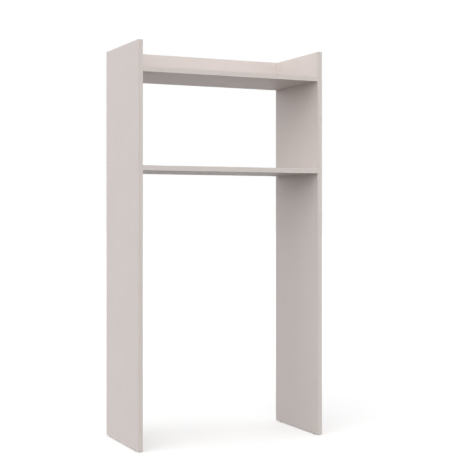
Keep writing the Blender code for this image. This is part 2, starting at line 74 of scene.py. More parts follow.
# Cam lock
CAM_CUP_DIAMETER = 0.0105
CAM_SOFTENING = 0.0004
CAM_WAIST_DEPTH = 0.0003
CAM_WAIST_HEIGHTS = (0.0020, 0.0034)
CAM_DRIVER_LENGTH = 0.0090
CAM_DRIVER_WIDTH = 0.0014
CAM_DRIVER_DEPTH = 0.0023
CAM_ARROW_LENGTH = 0.0016
CAM_ARROW_DEPTH = 0.0003

# Cam bolt
BOLT_COLLAR_LENGTH = 0.0012
BOLT_SHANK_DIAMETER = 0.0060
BOLT_NECK_DIAMETER = 0.0044
BOLT_NECK_LENGTH = 0.0060
BOLT_HEAD_DIAMETER = 0.0070
BOLT_HEAD_LENGTH = 0.0027
BOLT_THREAD_DIAMETER = 0.0062
BOLT_THREAD_PITCH = 0.0026
BOLT_SOFTENING = 0.0003

# Cam cap
CAP_DOME = 0.0012
CAP_SPIGOT_DIAMETER = 0.0034

# Dowel
DOWEL_CHAMFER = 0.0012
DOWEL_FLUTES = 12
DOWEL_FLUTE_DEPTH = 0.0004
DOWEL_FLUTE_SHARPNESS = 0.5  # below 1 the flutes are wide and the ridges between them narrow
DOWEL_FLUTE_FADE = 4  # the power of the radius with which the flutes fade on the chamfers

# Rail screw
RAIL_SCREW_DIAMETER = 0.0035
RAIL_SCREW_PITCH = 0.0034
RAIL_SCREW_POINT = 0.0050
RAIL_SCREW_RIM = 0.0001

# Wall bracket and its screw
BRACKET_THICKNESS = 0.002
BRACKET_BEND = 0.003
BRACKET_CORNER = 0.004
BRACKET_SOFTENING = 0.0004
BRACKET_HOLE_FLARE = 0.0003
BRACKET_SCREW_DIAMETER = 0.0035
BRACKET_SCREW_HEAD_HEIGHT = 0.0020
BRACKET_SCREW_PITCH = 0.0024
BRACKET_SCREW_POINT = 0.0030

# Driver recess of bolts and screws
RECESS_WIDTH = 0.0010
RECESS_DEPTH = 0.0021
RECESS_LENGTH = 0.0044
PAN_RECESS_DEPTH = 0.0015

# Floor glide
GLIDE_ROUND = 0.0008
GLIDE_DRAFT = 0.0003
GLIDE_NAIL_DIAMETER = 0.002
GLIDE_NAIL_POINT = 0.004

# Shares
ROOT_SHARE = 0.68  # of a thread's radius
CREST_SHARE = 0.18  # of half a pitch, the flat on a thread's ridge
VALLEY_SHARE = 0.80  # of half a pitch, where the flank meets the root
CHAMFER_SHARE = 0.35  # of a head's height
PAN_SHARE = 0.68  # of a pan head's radius, where its dome begins
POINT_SHARE = 0.03  # of a radius, the flat that closes a turned piece on its axis
TAPER_SHARE = 0.55  # of a recess's width, at its floor
FACING_SHARE = 0.2  # of a melamine face's normal, the least that points out of its board

# Points round and along the surfaces
WELD_DISTANCE = 2e-6
ROUND_SIDES = 48
ARRIS_STEPS = 4
BAND_STEPS = 6
CORNER_STEPS = 8
BEND_STEPS = 13
SMOOTH_ANGLE = math.radians(40)

# Camera, fitted to the edges of the boards in the photograph, 470 pixels wide and high
PHOTO_SIZE = 470
FOCAL_PIXELS = 1112.5
HORIZON_ROW = 215.53
CAMERA_PLACE = (-1.5118, -3.3814, 0.7312)
CAMERA_TURN = math.radians(-25.16)
SENSOR_WIDTH = 36.0

# Studio
FLOOR_REACH = 40.0
FLOOR_SHOWN = "F4F4F4"
FLOOR_LIFT = 0.24  # the light that is added where the floor is seen, to bring it to white
BEHIND_RIGHT = (0.66, 0.66, 0.36)

AXES = np.eye(3)
X, Y, Z = AXES


def linear(hex_colour):
    """The linear red, green, blue and alpha of an sRGB colour such as D4CBC7."""
    share = np.array([int(hex_colour[i : i + 2], 16) for i in (0, 2, 4)]) / 255
    bright = ((share + 0.055) / 1.055) ** 2.4
    return (*np.where(share <= 0.04045, share / 12.92, bright).tolist(), 1.0)


def colour_setting(name, description, hex_colour):
    """A colour for a property group, whose default is given as sRGB."""
    return FloatVectorProperty(
        name=name, description=description, default=linear(hex_colour)[:3],
        subtype="COLOR", size=3, min=0, max=1,
    )


class TowerFinish(bpy.types.PropertyGroup):
    """Colours and fine sizes of the tower's own pieces"""

    board: colour_setting("Board", "Colour of the melamine faces", "D4CBC7")
    edging: colour_setting("Edging", "Colour of the ABS edge bands", "D2C9C4")
    core: colour_setting("Core", "Mean colour of the chipboard where a board is cut", "B79C78")
    zinc: colour_setting("Zinc casting", "Colour of the cam locks", "A9ABAD")
    steel: colour_setting("Plated steel", "Colour of bolts, screws and brackets", "C2C4C6")
    beech: colour_setting("Beech", "Mean colour of the dowels", "C9A375")
    cap: colour_setting("Caps", "Colour of the caps over the cams", "CEC6C1")
    glide: colour_setting("Glides", "Colour of the floor glides", "8D8A88")
    pearl: FloatProperty(
        name="Pearl grain", description="Width of one grain of the melamine's pressed texture",
        default=0.0018, min=0.0003, max=0.01, unit="LENGTH", precision=4,
    )
    arris: FloatProperty(
        name="Arris", description="Softening along the edges of the boards",
        default=0.00015, min=0.00005, max=0.0005, unit="LENGTH", precision=5,
    )
    band_radius: FloatProperty(
        name="Band radius", description="Round on the long outer edges of the edge bands",
        default=0.0008, min=0.0002, max=0.0009, unit="LENGTH", precision=5,
    )
    thread_sides: IntProperty(
        name="Thread sides", description="Points in each turn of a screw's thread",
        default=24, min=12, max=48,
    )


class TowerStudio(bpy.types.PropertyGroup):
    """Colour of the floor and strength of the light"""

    floor: colour_setting("Floor", "Colour of the floor in the light that it sends back", "6C6C6C")
    fill: FloatProperty(
        name="Fill", description="Strength of the fill light from all round, at the horizon",
        default=1.66, min=0, max=3,
    )
    fill_above: FloatProperty(
        name="Fill above", description="Strength of the fill light from straight above",
        default=0.04, min=0, max=3,
    )
    fill_behind: FloatProperty(
        name="Fill behind", description="Strength that is added to the fill from behind the right",
        default=0.35, min=0, max=3,
    )
    key: FloatProperty(
        name="Key", description="Strength of the wide soft lamp at the front left",
        default=2.33, min=0, max=10,
    )
    key_width: FloatProperty(
        name="Key width", description="Angle that the lamp fills, which softens its shadows",
        default=math.radians(110), min=0, max=math.pi, subtype="ANGLE",
    )
    key_height: FloatProperty(
        name="Key height", description="Angle of the lamp above the floor",
        default=math.radians(10), min=0, max=math.pi / 2, subtype="ANGLE",
    )
    key_side: FloatProperty(
        name="Key side", description="Angle of the lamp round from the front to the left",
        default=math.radians(46), min=-math.pi, max=math.pi, subtype="ANGLE",
    )


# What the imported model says


def group(prefix):
    """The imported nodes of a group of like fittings, by name."""
    return sorted(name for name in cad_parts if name.startswith(prefix))


def span(node):
    """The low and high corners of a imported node, as arrays."""
    low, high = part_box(node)
    return np.array(low), np.array(high)


def size_of(node):
    """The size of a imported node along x, y and z."""
    low, high = span(node)
    return high - low


def middle(node):
    """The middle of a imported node."""
    low, high = span(node)
    return (low + high) / 2


def aside(node):
    """The side of the tower that a node is on, as the sign of its x."""
    return math.copysign(1, middle(node)[0])


def inner_face():
    """How far a side panel's inner face is from the tower's middle."""
    return min(abs(corner[0]) for corner in span("side_panel_right"))


def from_panel(fitting):
    """The two ends of a fitting along x, counted inwards from the side panel's inner face."""
    reach = np.abs([corner[0] for corner in span(fitting)])
    return inner_face() - reach.max(), inner_face() - reach.min()


# Seats, which take a piece's own axes to its place in the tower


def seat(origin, along, across):
    """The matrix that takes a piece's own +Z to along, its +X to across and zero to origin."""
    matrix = np.eye(4)
    matrix[:3, :3] = np.column_stack([across, np.cross(along, across), along])
    matrix[:3, 3] = origin
    return matrix


def upright(node, height, across=X):
    """The seat of a piece that stands at a height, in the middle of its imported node."""
    x, y, _ = middle(node)
    return seat((x, y, height), Z, across)


def beside_shelf(node):
    """The seat of a fitting that lies along x: on the panel's face, its own +Z to the middle."""
    _, y, z = middle(node)
    side = aside(node)
    return seat((side * inner_face(), y, z), -side * X, Z)


def placed(points, matrix):
    """Points in a piece's own axes, taken to their place in the tower."""
    return points @ matrix[:3, :3].T + matrix[:3, 3]


# Surfaces


def soften(corners, radius, steps, closed=False):
    """Rounds the corners of a path. Corner P becomes the curve (1-t)^2 A + 2t(1-t) P + t^2 B.

    A and B lie on the two sides of P, the radius away from it but at most half a side.
    """
    corners = np.asarray(corners, float)
    radius = np.broadcast_to(radius, len(corners)).astype(float)
    if not closed:
        radius[[0, -1]] = 0
    before = np.roll(corners, 1, axis=0) - corners
    after = np.roll(corners, -1, axis=0) - corners
    ends = []
    for side in (before, after):
        length = np.linalg.norm(side, axis=1)
        share = np.minimum(radius, length / 2) / length
        ends.append((corners + side * share[:, None])[:, None])
    t = np.linspace(0, 1, steps)[None, :, None]
    path = (1 - t) ** 2 * ends[0] + 2 * t * (1 - t) * corners[:, None] + t**2 * ends[1]
    path = path.reshape(-1, corners.shape[1])
    apart = np.linalg.norm(path - np.roll(path, 1, axis=0), axis=1) > WELD_DISTANCE
    if not closed:
        apart[0] = True
    return path[apart]


def turned(profile, sides=ROUND_SIDES, rise=None, pitch=1.0):
    """Carries (radius, height) points round +Z: angle a gives (r cos a, r sin a, height).

    With a rise for each point, r grows by rise times the thread's crest. That is 1 on the
    ridge height = pitch (n + a / 2 pi), falls evenly on both flanks and is 0 in the valley.
    """
    angle = np.arange(sides) * (2 * np.pi / sides)
    radius, height = np.asarray(profile)[:, 0, None], np.asarray(profile)[:, 1, None]
    if rise is not None:
        turn = height / pitch - angle / (2 * np.pi)
        away = 2 * np.abs(turn - np.round(turn))
        crest = np.clip((VALLEY_SHARE - away) / (VALLEY_SHARE - CREST_SHARE), 0, 1)
        radius = radius + np.asarray(rise)[:, None] * crest
    return np.stack([radius * np.cos(angle), radius * np.sin(angle), height + 0 * angle], axis=-1)


def carried(outline, length, softening):
    """Carries a closed outline along +Z, centred, with softened ends.

    At angle a of an end's quarter round, the outline is drawn in by s (1 - sin a) along its
    normals and lies s (1 - cos a) inside the end, where s is the softening.
    """
    side = np.roll(outline, -1, axis=0) - np.roll(outline, 1, axis=0)
    normal = np.stack([side[:, 1], -side[:, 0]], axis=1) / np.linalg.norm(side, axis=1)[:, None]
    angle = np.linspace(0, np.pi / 2, ARRIS_STEPS)
    inset = softening * (1 - np.sin(angle))
    rise = softening * (1 - np.cos(angle)) - length / 2
    inset, height = np.append(inset, inset[::-1]), np.append(rise, -rise[::-1])
    flat = outline - inset[:, None, None] * normal
    return np.dstack([flat, np.broadcast_to(height[:, None], flat.shape[:2])])


def stacked(outline, heights):
    """A flat outline at each of the heights."""
    return np.array([np.column_stack([outline, np.full(len(outline), z)]) for z in heights])


def skin(name, rings, laddered=False):
    """A mesh from rings of points, (bodies, rings, points round, 3) or one body of them.

    Quads join each ring to the next. One flat face closes each end of a body, or a ladder of
    quads from each point of the ring's first half to its opposite in the second.
    """
    bodies = rings.reshape(-1, *rings.shape[-3:])
    index = np.arange(bodies.size // 3).reshape(bodies.shape[:3])
    beside = np.roll(index, -1, axis=2)
    quads = np.stack([index[:, :-1], beside[:, :-1], beside[:, 1:], index[:, 1:]], axis=-1)
    ends = np.concatenate([index[:, 0, ::-1], index[:, -1]])
    if laddered:
        near, far = ends[:, : ends.shape[1] // 2], ends[:, : ends.shape[1] // 2 - 1 : -1]
        ends = np.stack([near[:, :-1], near[:, 1:], far[:, 1:], far[:, :-1]], axis=-1)
        ends = ends.reshape(-1, 4)
    mesh = bpy.data.meshes.new(name)
    mesh.from_pydata(bodies.reshape(-1, 3), [], quads.reshape(-1, 4).tolist() + ends.tolist())
    return mesh


def new_object(name, data):
    """An object in the scene, in place of one by its name that an earlier run left."""
    if name in bpy.data.objects:
        bpy.data.objects.remove(bpy.data.objects[name], do_unlink=True)
    obj = bpy.data.objects.new(name, data)
    bpy.context.scene.collection.objects.link(obj)
    return obj


def shaped(mesh, *cutters):
    """The mesh with each cutter taken away from it, and the points that then coincide welded."""
    blank = new_object("blank", mesh)
    tools = [new_object(f"tool_{number}", cutter) for number, cutter in enumerate(cutters)]
    for tool in tools:
        cut = blank.modifiers.new("Cut", "BOOLEAN")
        cut.operation, cut.solver, cut.object = "DIFFERENCE", "EXACT", tool
    blank.modifiers.new("Weld", "WELD").merge_threshold = WELD_DISTANCE
    graph = bpy.context.evaluated_depsgraph_get()
    result = bpy.data.meshes.new_from_object(blank.evaluated_get(graph))
    for helper in (blank, *tools):
        bpy.data.objects.remove(helper, do_unlink=True)
    return result


def points_of(items, field):
    """One vector for each vertex or face of a mesh, as an array."""
    values = np.empty(len(items) * 3, np.float32)
    items.foreach_get(field, values)
    return values.reshape(-1, 3)


def dress(node, mesh, matrix, materials):
    """Puts a mesh, already in place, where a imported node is, as a piece of its own.

    The attribute named own holds each point in the piece's own axes, counted from the tower's
    origin turned the same way, for patterns that follow the piece's length.
    """
    mesh.shade_smooth()
    mesh.set_sharp_from_angle(angle=SMOOTH_ANGLE)
    own = (points_of(mesh.vertices, "co") - matrix[:3, 3]) @ matrix[:3, :3] + matrix[:3, 3]
    attribute = mesh.attributes.new("own", "FLOAT_VECTOR", "POINT")
    attribute.data.foreach_set("vector", own.astype(np.float32).ravel())
    for material in materials:
        mesh.materials.append(material)
    piece = new_object(f"{node}_fine", mesh)
    piece.modifiers.new("Even normals", "WEIGHTED_NORMAL").keep_sharp = True
    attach(piece, "root")
    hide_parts(node)


def dress_copy(node, mesh, matrix, materials):
    """Dresses a node with a copy of a mesh that was made in the piece's own axes."""
    copy = mesh.copy()
    copy.vertices.foreach_set("co", placed(points_of(mesh.vertices, "co"), matrix).ravel())
    dress(node, copy, matrix, materials)


# Finishes


def fresh_tree(owner):
    """The emptied node tree of a material or a world."""
    owner.use_nodes = True
    owner.node_tree.nodes.clear()
    return owner.node_tree


def fresh_material(name):
    """The material by this name, with its emptied node tree."""
    material = bpy.data.materials.get(name) or bpy.data.materials.new(name)
    return material, fresh_tree(material)


def add_node(tree, kind, inputs=None, **settings):
    """One node with its settings. An input takes a value, or the socket that feeds it, or the
    node whose first output in use feeds it."""
    node = tree.nodes.new("ShaderNode" + kind)
    for name, value in settings.items():
        setattr(node, name, value)
    for name, value in (inputs or {}).items():
        if isinstance(value, bpy.types.Node):
            value = next(output for output in value.outputs if output.enabled)
        if isinstance(value, bpy.types.NodeSocket):
            tree.links.new(value, node.inputs[name])
        else:
            node.inputs[name].default_value = value
    return node


def surfaced(material, colour, roughness, relief, **settings):
    """The material, with its shader and output added to its tree."""
    inputs = {"Base Color": colour, "Roughness": roughness, "Normal": relief, **settings}
    shader = add_node(material.node_tree, "BsdfPrincipled", inputs)
    add_node(material.node_tree, "OutputMaterial", {"Surface": shader})
    return material


def per_metre(steps):
    """The scale that counts a place along each axis in a pattern's steps there."""
    return [1 / step for step in steps]


def toned(colour, share):
    """A colour made lighter or darker by a share, or by one for each channel, with its alpha."""
    return (*np.minimum(np.multiply(colour[:3], share), 1.0).tolist(), 1.0)


def melamine(finish):
    """Melamine facing: paper soaked in resin, pressed matt against a plate with a pearl grain.

    The colour is even, with a faint cloud from the paper. The grain is 0.4 mm wide on the real
    board and drawn at the setting's width, so that its little hollows, duller than what stands
    between them and darkened by painted shade, still show from half a metre away.
    """
    cloud_size, pearl_depth = 0.09, 0.0002
    # The darker colour is the paper's cloud and painted shade in the grain's hollows; the paler is
    # the cloud and painted light on the grain's crowns
    darker_cloud_and_hollow_shade, paler_cloud_and_crown_light = toned(finish.board, 0.945), toned(finish.board, 1.055)
    material, tree = fresh_material("Pearl matt melamine")
    place = add_node(tree, "TexCoord").outputs["Object"]
    cloud = add_node(tree, "TexNoise", {"Vector": place, "Scale": 1 / cloud_size, "Detail": 3.0})
    pearl = add_node(
        tree, "TexNoise",
        {"Vector": place, "Scale": 1 / finish.pearl, "Detail": 2.0, "Roughness": 0.6},
    )
    raised = add_node(tree, "MapRange", {"Value": pearl, "From Min": 0.35, "From Max": 0.65})
    # Painted shade: the grain's height darkens the colour in its hollows, mixed half and half with
    # the paper's real cloud
    tone = add_node(tree, "Mix", {"Factor": 0.5, "A": cloud, "B": raised})
    colour = add_node(tree, "Mix", {"Factor": tone, "A": darker_cloud_and_hollow_shade, "B": paler_cloud_and_crown_light}, data_type="RGBA")
    gloss = add_node(tree, "MapRange", {"Value": raised, "To Min": 0.62, "To Max": 0.46})
    relief = add_node(tree, "Bump", {"Strength": 0.8, "Distance": pearl_depth, "Height": pearl})
    return surfaced(material, colour, gloss, relief, IOR=1.5)


def chipboard(finish):
    """Chipboard core: wood flakes glued and pressed flat, then sawn or bored.

    The flakes lie in the board's plane, so their cut ends show as short thin streaks, from pale
    sapwood to brown, with dark gaps between. The surface is dull and rough.
    """
    flake_steps, flake_depth = (0.0006, 0.0022, 0.0030), 0.0002
    brown, sapwood = toned(finish.core, 0.70), toned(finish.core, 1.45)
    material, tree = fresh_material("Chipboard core")
    own = add_node(tree, "Attribute", attribute_name="own").outputs["Vector"]
    laid = add_node(tree, "Mapping", {"Vector": own, "Scale": per_metre(flake_steps)})
    flakes = add_node(tree, "TexVoronoi", {"Vector": laid, "Scale": 1.0})
    shade = add_node(tree, "SeparateColor", {"Color": flakes.outputs["Color"]})
    fibres = add_node(tree, "TexNoise", {"Vector": laid, "Scale": 3.0, "Detail": 3.0})
    tone = add_node(tree, "Math", {0: shade, 1: fibres}, operation="MULTIPLY")
    colour = add_node(tree, "Mix", {"Factor": tone, "A": brown, "B": sapwood}, data_type="RGBA")
    relief = add_node(tree, "Bump", {"Strength": 0.6, "Distance": flake_depth, "Height": tone})
    return surfaced(material, colour, 0.9, relief, IOR=1.5)


def abs_edging(finish):
    """ABS edging: extruded plastic strip, glued on and then scraped round along its edges.

    It is a little glossier than the board, with fine straight lines along its length from the
    scraper, 0.1 mm apart on the real band and drawn 0.8 mm apart to show from half a metre.
    """
    line_steps, line_depth = (0.0008, 0.0008, 0.12), 0.0001
    groove, ridge = toned(finish.edging, 0.955), toned(finish.edging, 1.045)
    material, tree = fresh_material("Scraped ABS edging")
    own = add_node(tree, "Attribute", attribute_name="own").outputs["Vector"]
    drawn = add_node(tree, "Mapping", {"Vector": own, "Scale": per_metre(line_steps)})
    lines = add_node(tree, "TexNoise", {"Vector": drawn, "Scale": 1.0, "Detail": 2.0})
    colour = add_node(tree, "Mix", {"Factor": lines, "A": groove, "B": ridge}, data_type="RGBA")
    gloss = add_node(tree, "MapRange", {"Value": lines, "To Min": 0.38, "To Max": 0.54})
    relief = add_node(tree, "Bump", {"Strength": 0.5, "Distance": line_depth, "Height": lines})
    return surfaced(material, colour, gloss, relief, IOR=1.54)


def zinc_casting(finish):
    """Zinc die casting, bare: the melt chills against the die and keeps its slightly flowed skin.

    Dull grey metal, with soft bright and dark patches 2 mm wide and a fine cast grain.
    """
    patch_size, grain_size, grain_depth = 0.002, 0.0004, 0.00004
    dark, bright = toned(finish.zinc, 0.86), toned(finish.zinc, 1.12)
    material, tree = fresh_material("Zinc die casting")
    own = add_node(tree, "Attribute", attribute_name="own").outputs["Vector"]
    patch = add_node(tree, "TexNoise", {"Vector": own, "Scale": 1 / patch_size, "Detail": 2.0})
    grain = add_node(tree, "TexNoise", {"Vector": own, "Scale": 1 / grain_size, "Detail": 2.0})
    colour = add_node(tree, "Mix", {"Factor": patch, "A": dark, "B": bright}, data_type="RGBA")
    gloss = add_node(tree, "MapRange", {"Value": patch, "To Min": 0.52, "To Max": 0.34})
    relief = add_node(tree, "Bump", {"Strength": 0.4, "Distance": grain_depth, "Height": grain})
    return surfaced(material, colour, gloss, relief, Metallic=1.0)


def plated_steel(finish):
    """Steel, electroplated with zinc and passivated clear.

    Bright metal with a thin film that turns from bluish to faintly yellow over some
    millimetres, and fine drawing marks along each piece.
    """
    film_size, mark_steps, mark_depth = 0.006, (0.00025, 0.00025, 0.008), 0.00002
    bluish = toned(finish.steel, (0.97, 1.0, 1.05))
    yellowish = toned(finish.steel, (1.05, 1.02, 0.90))
    material, tree = fresh_material("Zinc-plated steel")
    own = add_node(tree, "Attribute", attribute_name="own").outputs["Vector"]
    film = add_node(tree, "TexNoise", {"Vector": own, "Scale": 1 / film_size, "Detail": 1.0})
    drawn = add_node(tree, "Mapping", {"Vector": own, "Scale": per_metre(mark_steps)})
    marks = add_node(tree, "TexNoise", {"Vector": drawn, "Scale": 1.0, "Detail": 2.0})
    colour = add_node(tree, "Mix", {"Factor": film, "A": bluish, "B": yellowish}, data_type="RGBA")
    gloss = add_node(tree, "MapRange", {"Value": marks, "To Min": 0.22, "To Max": 0.40})
    relief = add_node(tree, "Bump", {"Strength": 0.2, "Distance": mark_depth, "Height": marks})
    return surfaced(material, colour, gloss, relief, Metallic=1.0)


def beech(finish):
    """Beech, turned and pressed with flutes, unfinished.

    Pale pinkish wood. Growth rings give soft bands 2 mm apart along the dowel, and the pores
    short dark flecks, 0.1 mm wide on the real wood and drawn 0.2 mm wide.
    """
    ring_steps = (0.002, 0.002, 0.05)
    fleck_steps, fleck_depth = (0.0002, 0.0002, 0.0018), 0.00005
    early, late = toned(finish.beech, 0.84), toned(finish.beech, 1.14)
    material, tree = fresh_material("Unfinished beech")
    own = add_node(tree, "Attribute", attribute_name="own").outputs["Vector"]
    ringed = add_node(tree, "Mapping", {"Vector": own, "Scale": per_metre(ring_steps)})
    flecked = add_node(tree, "Mapping", {"Vector": own, "Scale": per_metre(fleck_steps)})
    rings = add_node(tree, "TexNoise", {"Vector": ringed, "Scale": 1.0, "Detail": 2.0})
    flecks = add_node(tree, "TexNoise", {"Vector": flecked, "Scale": 1.0, "Detail": 1.0})
    pores = add_node(tree, "MapRange", {"Value": flecks, "From Min": 0.60, "From Max": 0.68})
    wood = add_node(tree, "Mix", {"Factor": rings, "A": early, "B": late}, data_type="RGBA")
    colour = add_node(
        tree, "Mix", {"Factor": pores, "A": wood, "B": toned(finish.beech, 0.5)},
        data_type="RGBA",
    )
    relief = add_node(
        tree, "Bump", {"Strength": 0.4, "Distance": fleck_depth, "Height": pores}, invert=True
    )
    return surfaced(material, colour, 0.68, relief, IOR=1.5)


def moulded_plastic(name, shade):
    """Polyethylene, injection moulded against a spark-eroded die, which leaves a satin grain.

    The plastic is waxy, with a faint flow cloud. Where it stands on the floor, it is rubbed
    duller and paler up to the scuff height.
    """
    cloud_size, grain_size, grain_depth, scuff_height = 0.008, 0.0005, 0.00004, 0.0006
    thin, thick, rubbed_pale = toned(shade, 0.97), toned(shade, 1.03), toned(shade, 1.25)
    material, tree = fresh_material(name)
    place = add_node(tree, "TexCoord").outputs["Object"]
    cloud = add_node(tree, "TexNoise", {"Vector": place, "Scale": 1 / cloud_size, "Detail": 2.0})
    grain = add_node(tree, "TexNoise", {"Vector": place, "Scale": 1 / grain_size, "Detail": 1.0})
    height = add_node(tree, "SeparateXYZ", {"Vector": place}).outputs["Z"]
    rubbed = add_node(
        tree, "MapRange", {"Value": height, "From Max": scuff_height, "To Min": 0.8, "To Max": 0.0}
    )
    plain = add_node(tree, "Mix", {"Factor": cloud, "A": thin, "B": thick}, data_type="RGBA")
    colour = add_node(
        tree, "Mix", {"Factor": rubbed, "A": plain, "B": rubbed_pale}, data_type="RGBA"
    )
    gloss = add_node(tree, "MapRange", {"Value": rubbed, "To Min": 0.42, "To Max": 0.75})
    relief = add_node(tree, "Bump", {"Strength": 0.3, "Distance": grain_depth, "Height": grain})
    return surfaced(material, colour, gloss, relief, IOR=1.51)


# Boards and edge bands

# Which way the low and the high corner of each board and band move along x, y and z, so that
# its sides close on their neighbours
BOARDS = {
    "side_panel_left": ((0, -1, -1), (0, 1, 1)),
    "side_panel_right": ((0, -1, -1), (0, 1, 1)),
    "upper_shelf": ((-1, -1, 0), (1, 1, 0)),
    "lower_shelf": ((-1, -1, 0), (1, 1, 0)),
    "back_rail": ((-1, 0, 0), (1, 0, 1)),
}
UPRIGHT_BAND = ((0, 0, -1), (0, 0, 1))
CROSS_BAND = ((-1, 0, 0), (1, 0, 0))
TOP_BAND = ((0, 0, 0), (0, 0, 0))
BANDS = {
    "side_panel_left_front_band": UPRIGHT_BAND,
    "side_panel_left_rear_band": UPRIGHT_BAND,
    "side_panel_left_top_band": TOP_BAND,
    "side_panel_right_front_band": UPRIGHT_BAND,
    "side_panel_right_rear_band": UPRIGHT_BAND,
    "side_panel_right_top_band": TOP_BAND,
    "upper_shelf_front_band": CROSS_BAND,
    "lower_shelf_front_band": CROSS_BAND,
    "lower_shelf_rear_band": CROSS_BAND,
    "back_rail_top_band": CROSS_BAND,
}
OUTWARD = {"front": -Y, "rear": Y, "top": Z}

# The bores of a board: the fitting, the axis that it lies along, and its diameter there or
# None for its own width. Those in one cut don't cross
PANEL_BORES = (
    ("cam_bolt_", 0, BOLT_THREAD_DIAMETER),
    ("dowel_", 0, None),
    ("floor_glide_", 2, GLIDE_NAIL_DIAMETER),
)
SHELF_END_BORES = (
    ("cam_bolt_", 0, None),
    ("dowel_", 0, None),
)
LOCK_BORES = (("cam_lock_", 2, None),)
SCREW_BORES = (
    ("rail_screw_", 1, RAIL_SCREW_DIAMETER),
    ("bracket_screw_", 2, BRACKET_SCREW_DIAMETER),
)
CUTS = {
    "side_panel_left": (PANEL_BORES,),
    "side_panel_right": (PANEL_BORES,),
    "upper_shelf": (SHELF_END_BORES + SCREW_BORES, LOCK_BORES),
    "lower_shelf": (SHELF_END_BORES, LOCK_BORES),
}


def closed_box(node):
    """The corners of a board or band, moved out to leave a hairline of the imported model's gap."""
    low, high = span(node)
    at_low, at_high = {**BOARDS, **BANDS}[node]
    return low + np.multiply(at_low, CLOSING), high + np.multiply(at_high, CLOSING)


def bore_rings(mouth, way, diameter, depth, flare=BORE_FLARE):
    """A round bore that enters at its mouth the given way, flared there at 45 degrees."""
    radius = diameter / 2
    profile = [
        (radius * POINT_SHARE, -depth),
        (radius, -depth),
        (radius, -flare),
        (radius + flare + CUT_OVERRUN, CUT_OVERRUN),
        (radius * POINT_SHARE, CUT_OVERRUN),
    ]
    return placed(turned(profile), seat(mouth, -way, X if way[2] else Z))


def fitting_bore(low, high, fitting, axis, diameter):
    """The bore that one fitting needs in a board, from the face that it lies nearer to."""
    start, end = span(fitting)
    width = np.delete(end - start, axis).max() if diameter is None else diameter
    mouth = (start + end) / 2
    if start[axis] - low[axis] < high[axis] - end[axis]:
        way, mouth[axis], depth = AXES[axis], low[axis], end[axis] - low[axis]
    else:
        way, mouth[axis], depth = -AXES[axis], high[axis], high[axis] - start[axis]
    clear = 2 * BORE_CLEARANCE
    return bore_rings(mouth, way, width + clear, depth + clear)


def rail_holes(rear):
    """The rail's holes, from its rear face through it.

    Those for wall screws are in line with the holes in the brackets' upright legs. Those for
    the rail screws are countersunk, one clearance larger than the heads.
    """
    through = size_of("back_rail")[1] + CUT_OVERRUN
    holes = []
    for bracket in group("wall_bracket_"):
        mouth = (middle(bracket)[0], rear, span(bracket)[0][2] + BRACKET_HOLE_HEIGHT)
        holes.append(bore_rings(mouth, -Y, WALL_HOLE_DIAMETER, through))
    for screw in group("rail_screw_"):
        x, _, z = middle(screw)
        diameter = RAIL_SCREW_DIAMETER + 2 * BORE_CLEARANCE
        sunk = RAIL_SCREW_RIM + rear - span(screw)[1][1] + BORE_CLEARANCE
        flare = size_of(screw)[0] / 2 + sunk - diameter / 2
        holes.append(bore_rings((x, rear, z), -Y, diameter, through, flare))
    return holes


def board_cutters(board):
    """The meshes that cut a board's bores, one for each cut."""
    low, high = closed_box(board)
    if board == "back_rail":
        return [skin("holes", np.array(rail_holes(high[1])))]
    cutters = []
    for bores in CUTS[board]:
        rings = []
        for prefix, axis, diameter in bores:
            for fitting in group(prefix):
                start, end = span(fitting)
                if np.all(start < high) and np.all(end > low):
                    rings.append(fitting_bore(low, high, fitting, axis, diameter))
        cutters.append(skin("bores", np.array(rings)))
    return cutters


def strip(node, across, radius, steps, softening):
    """A board or band before it is bored, and its seat.

    It is a rectangle with rounded corners, carried along its longest side. Its thickness lies
    across, along its own X.
    """
    low, high = closed_box(node)
    matrix = seat((low + high) / 2, AXES[np.argmax(high - low)], across)
    thickness, width, length = np.abs(matrix[:3, :3].T @ (high - low))
    x, y = thickness / 2, width / 2
    outline = soften([(x, -y), (x, y), (-x, y), (-x, -y)], radius, steps, closed=True)
    return skin(node, placed(carried(outline, length, softening), matrix)), matrix


def make_board(board, finish, materials):
    """A board with its bores. Its wide faces are melamine, and every other face is chipboard."""
    low, high = closed_box(board)
    across = AXES[np.argmin(high - low)]
    blank, matrix = strip(board, across, 2 * finish.arris, ARRIS_STEPS, finish.arris)
    mesh = shaped(blank, *board_cutters(board))
    depth = np.abs((points_of(mesh.polygons, "center") - (low + high) / 2) @ across)
    facing = np.abs(points_of(mesh.polygons, "normal") @ across)
    faced = (depth > (high - low).min() / 2 - 2 * finish.arris) & (facing > FACING_SHARE)
    mesh.polygons.foreach_set("material_index", np.where(faced, 0, 1).astype(np.int32))
    dress(board, mesh, matrix, materials)


def make_band(band, finish, materials):
    """An edge band, rounded along its two outer edges."""
    outward = OUTWARD[band.split("_")[-2]]
    radius = [finish.band_radius, finish.band_radius, finish.arris, finish.arris]
    mesh, matrix = strip(band, outward, radius, BAND_STEPS, finish.arris)
    dress(band, mesh, matrix, materials)


class TOWER_OT_boards(bpy.types.Operator):
    """Makes the five boards, with melamine faces and a chipboard core"""

    bl_idname = "tower.boards"
    bl_label = "Boards"

    def execute(self, context):
        finish = context.scene.tower_finish
        materials = [melamine(finish), chipboard(finish)]
        for board in BOARDS:
            make_board(board, finish, materials)
        return {"FINISHED"}


class TOWER_OT_edging(bpy.types.Operator):
    """Makes the ABS bands along the edges of the boards"""

    bl_idname = "tower.edging"
    bl_label = "Edging"

    def execute(self, context):
        finish = context.scene.tower_finish
        materials = [abs_edging(finish)]
        for band in BANDS:
            make_band(band, finish, materials)
        return {"FINISHED"}


# Fittings


